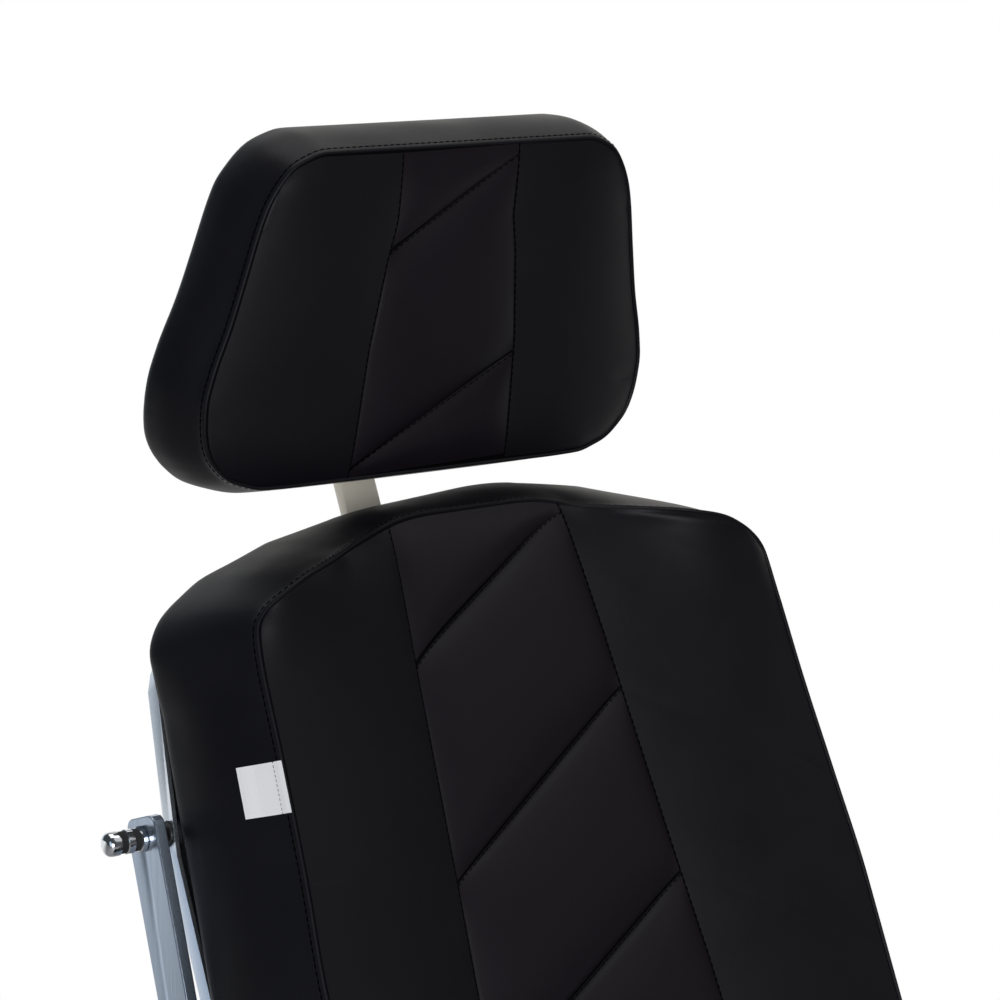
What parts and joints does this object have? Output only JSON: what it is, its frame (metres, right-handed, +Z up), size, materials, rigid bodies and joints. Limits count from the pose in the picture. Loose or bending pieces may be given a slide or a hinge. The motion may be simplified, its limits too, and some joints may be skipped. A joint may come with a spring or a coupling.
{
  "type": "procedure chair",
  "caption": "Powered procedure chair: sewn black back, seat, leg rest and headrest on a lifting column, with swinging armrests and foot pedals.",
  "frame": {"origin": "on the floor, under the middle of the chair as it stands at rest", "axes": "+Z up, +X to the right of someone who looks at the front of the chair with -Y towards them, patient faces -Y"},
  "size_m": [0.671, 1.2558, 1.4098],
  "materials": {
    "vinyl": "smooth black upholstery vinyl with a soft sheen",
    "stainless": "satin stainless flat bar and sheet",
    "chrome": "polished chrome",
    "aluminium": "satin anodised",
    "painted_steel": "dark powder coat",
    "grey_plastic": "moulded, fine texture",
    "pale_plastic": "moulded, smooth",
    "black_plastic": "moulded, fine texture",
    "rubber": "matt",
    "plywood": "sanded birch plywood"
  },
  "bodies": {
    "base": {"base_plate": "painted_steel", "base_cover": "grey_plastic", "control_box": "grey_plastic", "power_inlet": "black_plastic", "column_outer": "aluminium", "column_outer_glide": "black_plastic", "lift_motor": "black_plastic", "pedal_bracket": "painted_steel", "levelling_foot_front_left": "rubber", "levelling_foot_front_right": "rubber", "levelling_foot_rear_left": "rubber", "levelling_foot_rear_right": "rubber"},
    "column_middle": {"column_middle": "aluminium", "column_middle_glide": "black_plastic"},
    "seat": {"column_inner": "aluminium", "lift_spindle": "stainless", "seat_board": "plywood", "seat_cushion": "vinyl", "back_actuator": "black_plastic", "leg_actuator": "black_plastic", "back_hinge_bracket_left": "painted_steel", "back_hinge_bracket_right": "painted_steel", "leg_hinge_bracket_left": "painted_steel", "leg_hinge_bracket_right": "painted_steel", "seat_crossbar_front": "painted_steel", "seat_crossbar_rear": "painted_steel", "seat_rail_left": "painted_steel", "seat_rail_right": "painted_steel"},
    "back": {"back_crossbar": "painted_steel", "back_torque_tube": "painted_steel", "back_board": "plywood", "back_cushion": "vinyl", "back_shell": "stainless", "head_socket": "painted_steel", "arm_spacer_left": "black_plastic", "arm_spacer_right": "black_plastic", "arm_stud_left": "chrome", "arm_stud_right": "chrome", "back_rail_left": "painted_steel", "back_rail_right": "painted_steel"},
    "back_rod": {"back_actuator_rod": "stainless"},
    "leg": {"leg_torque_tube": "painted_steel", "leg_board": "plywood", "leg_cushion": "vinyl", "leg_rail_left": "painted_steel", "leg_rail_right": "painted_steel"},
    "leg_rod": {"leg_actuator_rod": "stainless"},
    "head_bar": {"head_bar": "stainless"},
    "head_knob": {"head_knob": "black_plastic"},
    "headrest": {"headrest_cushion": "vinyl", "headrest_shell": "pale_plastic", "headrest_bracket": "painted_steel", "headrest_pin": "stainless"},
    "arm_left": {"arm_bar_left": "stainless", "arm_pad_left": "vinyl"},
    "arm_right": {"arm_bar_right": "stainless", "arm_pad_right": "vinyl"},
    "pedal_back": {"pedal_back": "rubber"},
    "pedal_lift": {"pedal_lift": "rubber"},
    "pedal_leg": {"pedal_leg": "rubber"}
  },
  "joints": [
    {"name": "lift", "type": "slide", "parent": "base", "child": "seat", "axis": [0, 0, 1], "range_m": [0, 0.28]},
    {"name": "column_middle_lift", "type": "slide", "parent": "base", "child": "column_middle", "axis": [0, 0, 1], "range_m": [0, 0.14]},
    {"name": "back_recline", "type": "hinge", "parent": "seat", "child": "back", "pos_m": [0, 0.1904, 0.551], "axis": [-1, 0, 0], "range_deg": [-15, 64.5]},
    {"name": "back_drive", "type": "slide", "parent": "seat", "child": "back_rod", "axis": [0, -1, 0], "range_m": [-0.0338, 0.1437]},
    {"name": "leg_raise", "type": "hinge", "parent": "seat", "child": "leg", "pos_m": [0, -0.3066, 0.476], "axis": [-1, 0, 0], "range_deg": [-12, 60]},
    {"name": "leg_drive", "type": "slide", "parent": "seat", "child": "leg_rod", "axis": [0, -1, 0], "range_m": [-0.0178, 0.087]},
    {"name": "head_height", "type": "slide", "parent": "back", "child": "head_bar", "axis": [0, 0.4305, 0.9026], "range_m": [0, 0.12]},
    {"name": "head_tilt", "type": "hinge", "parent": "head_bar", "child": "headrest", "pos_m": [0, 0.5833, 1.22578], "axis": [-1, 0, 0], "range_deg": [-8, 45]},
    {"name": "head_clamp", "type": "hinge", "parent": "back", "child": "head_knob", "pos_m": [0, 0.50293, 0.96698], "axis": [0, 0.9026, -0.4305], "continuous": true},
    {"name": "arm_left_swing", "type": "hinge", "parent": "back", "child": "arm_left", "pos_m": [0, 0.42936, 0.95443], "axis": [-1, 0, 0], "range_deg": [-70, 60]},
    {"name": "arm_right_swing", "type": "hinge", "parent": "back", "child": "arm_right", "pos_m": [0, 0.42936, 0.95443], "axis": [-1, 0, 0], "range_deg": [-70, 60]},
    {"name": "pedal_back_press", "type": "hinge", "parent": "base", "child": "pedal_back", "pos_m": [0, 0.3874, 0.03], "axis": [1, 0, 0], "range_deg": [-7, 7], "stiffness_Nm_per_rad": 6},
    {"name": "pedal_lift_press", "type": "hinge", "parent": "base", "child": "pedal_lift", "pos_m": [0, 0.3874, 0.03], "axis": [1, 0, 0], "range_deg": [-7, 7], "stiffness_Nm_per_rad": 6},
    {"name": "pedal_leg_press", "type": "hinge", "parent": "base", "child": "pedal_leg", "pos_m": [0, 0.3874, 0.03], "axis": [1, 0, 0], "range_deg": [-7, 7], "stiffness_Nm_per_rad": 6}
  ],
  "couplings": [
    {"joint": "column_middle_lift", "follows": "lift", "ratio": 0.5},
    {"joint": "back_drive", "follows": "back_recline", "m_per_rad": 0.12721},
    {"joint": "leg_drive", "follows": "leg_raise", "m_per_rad": 0.08258}
  ]
}
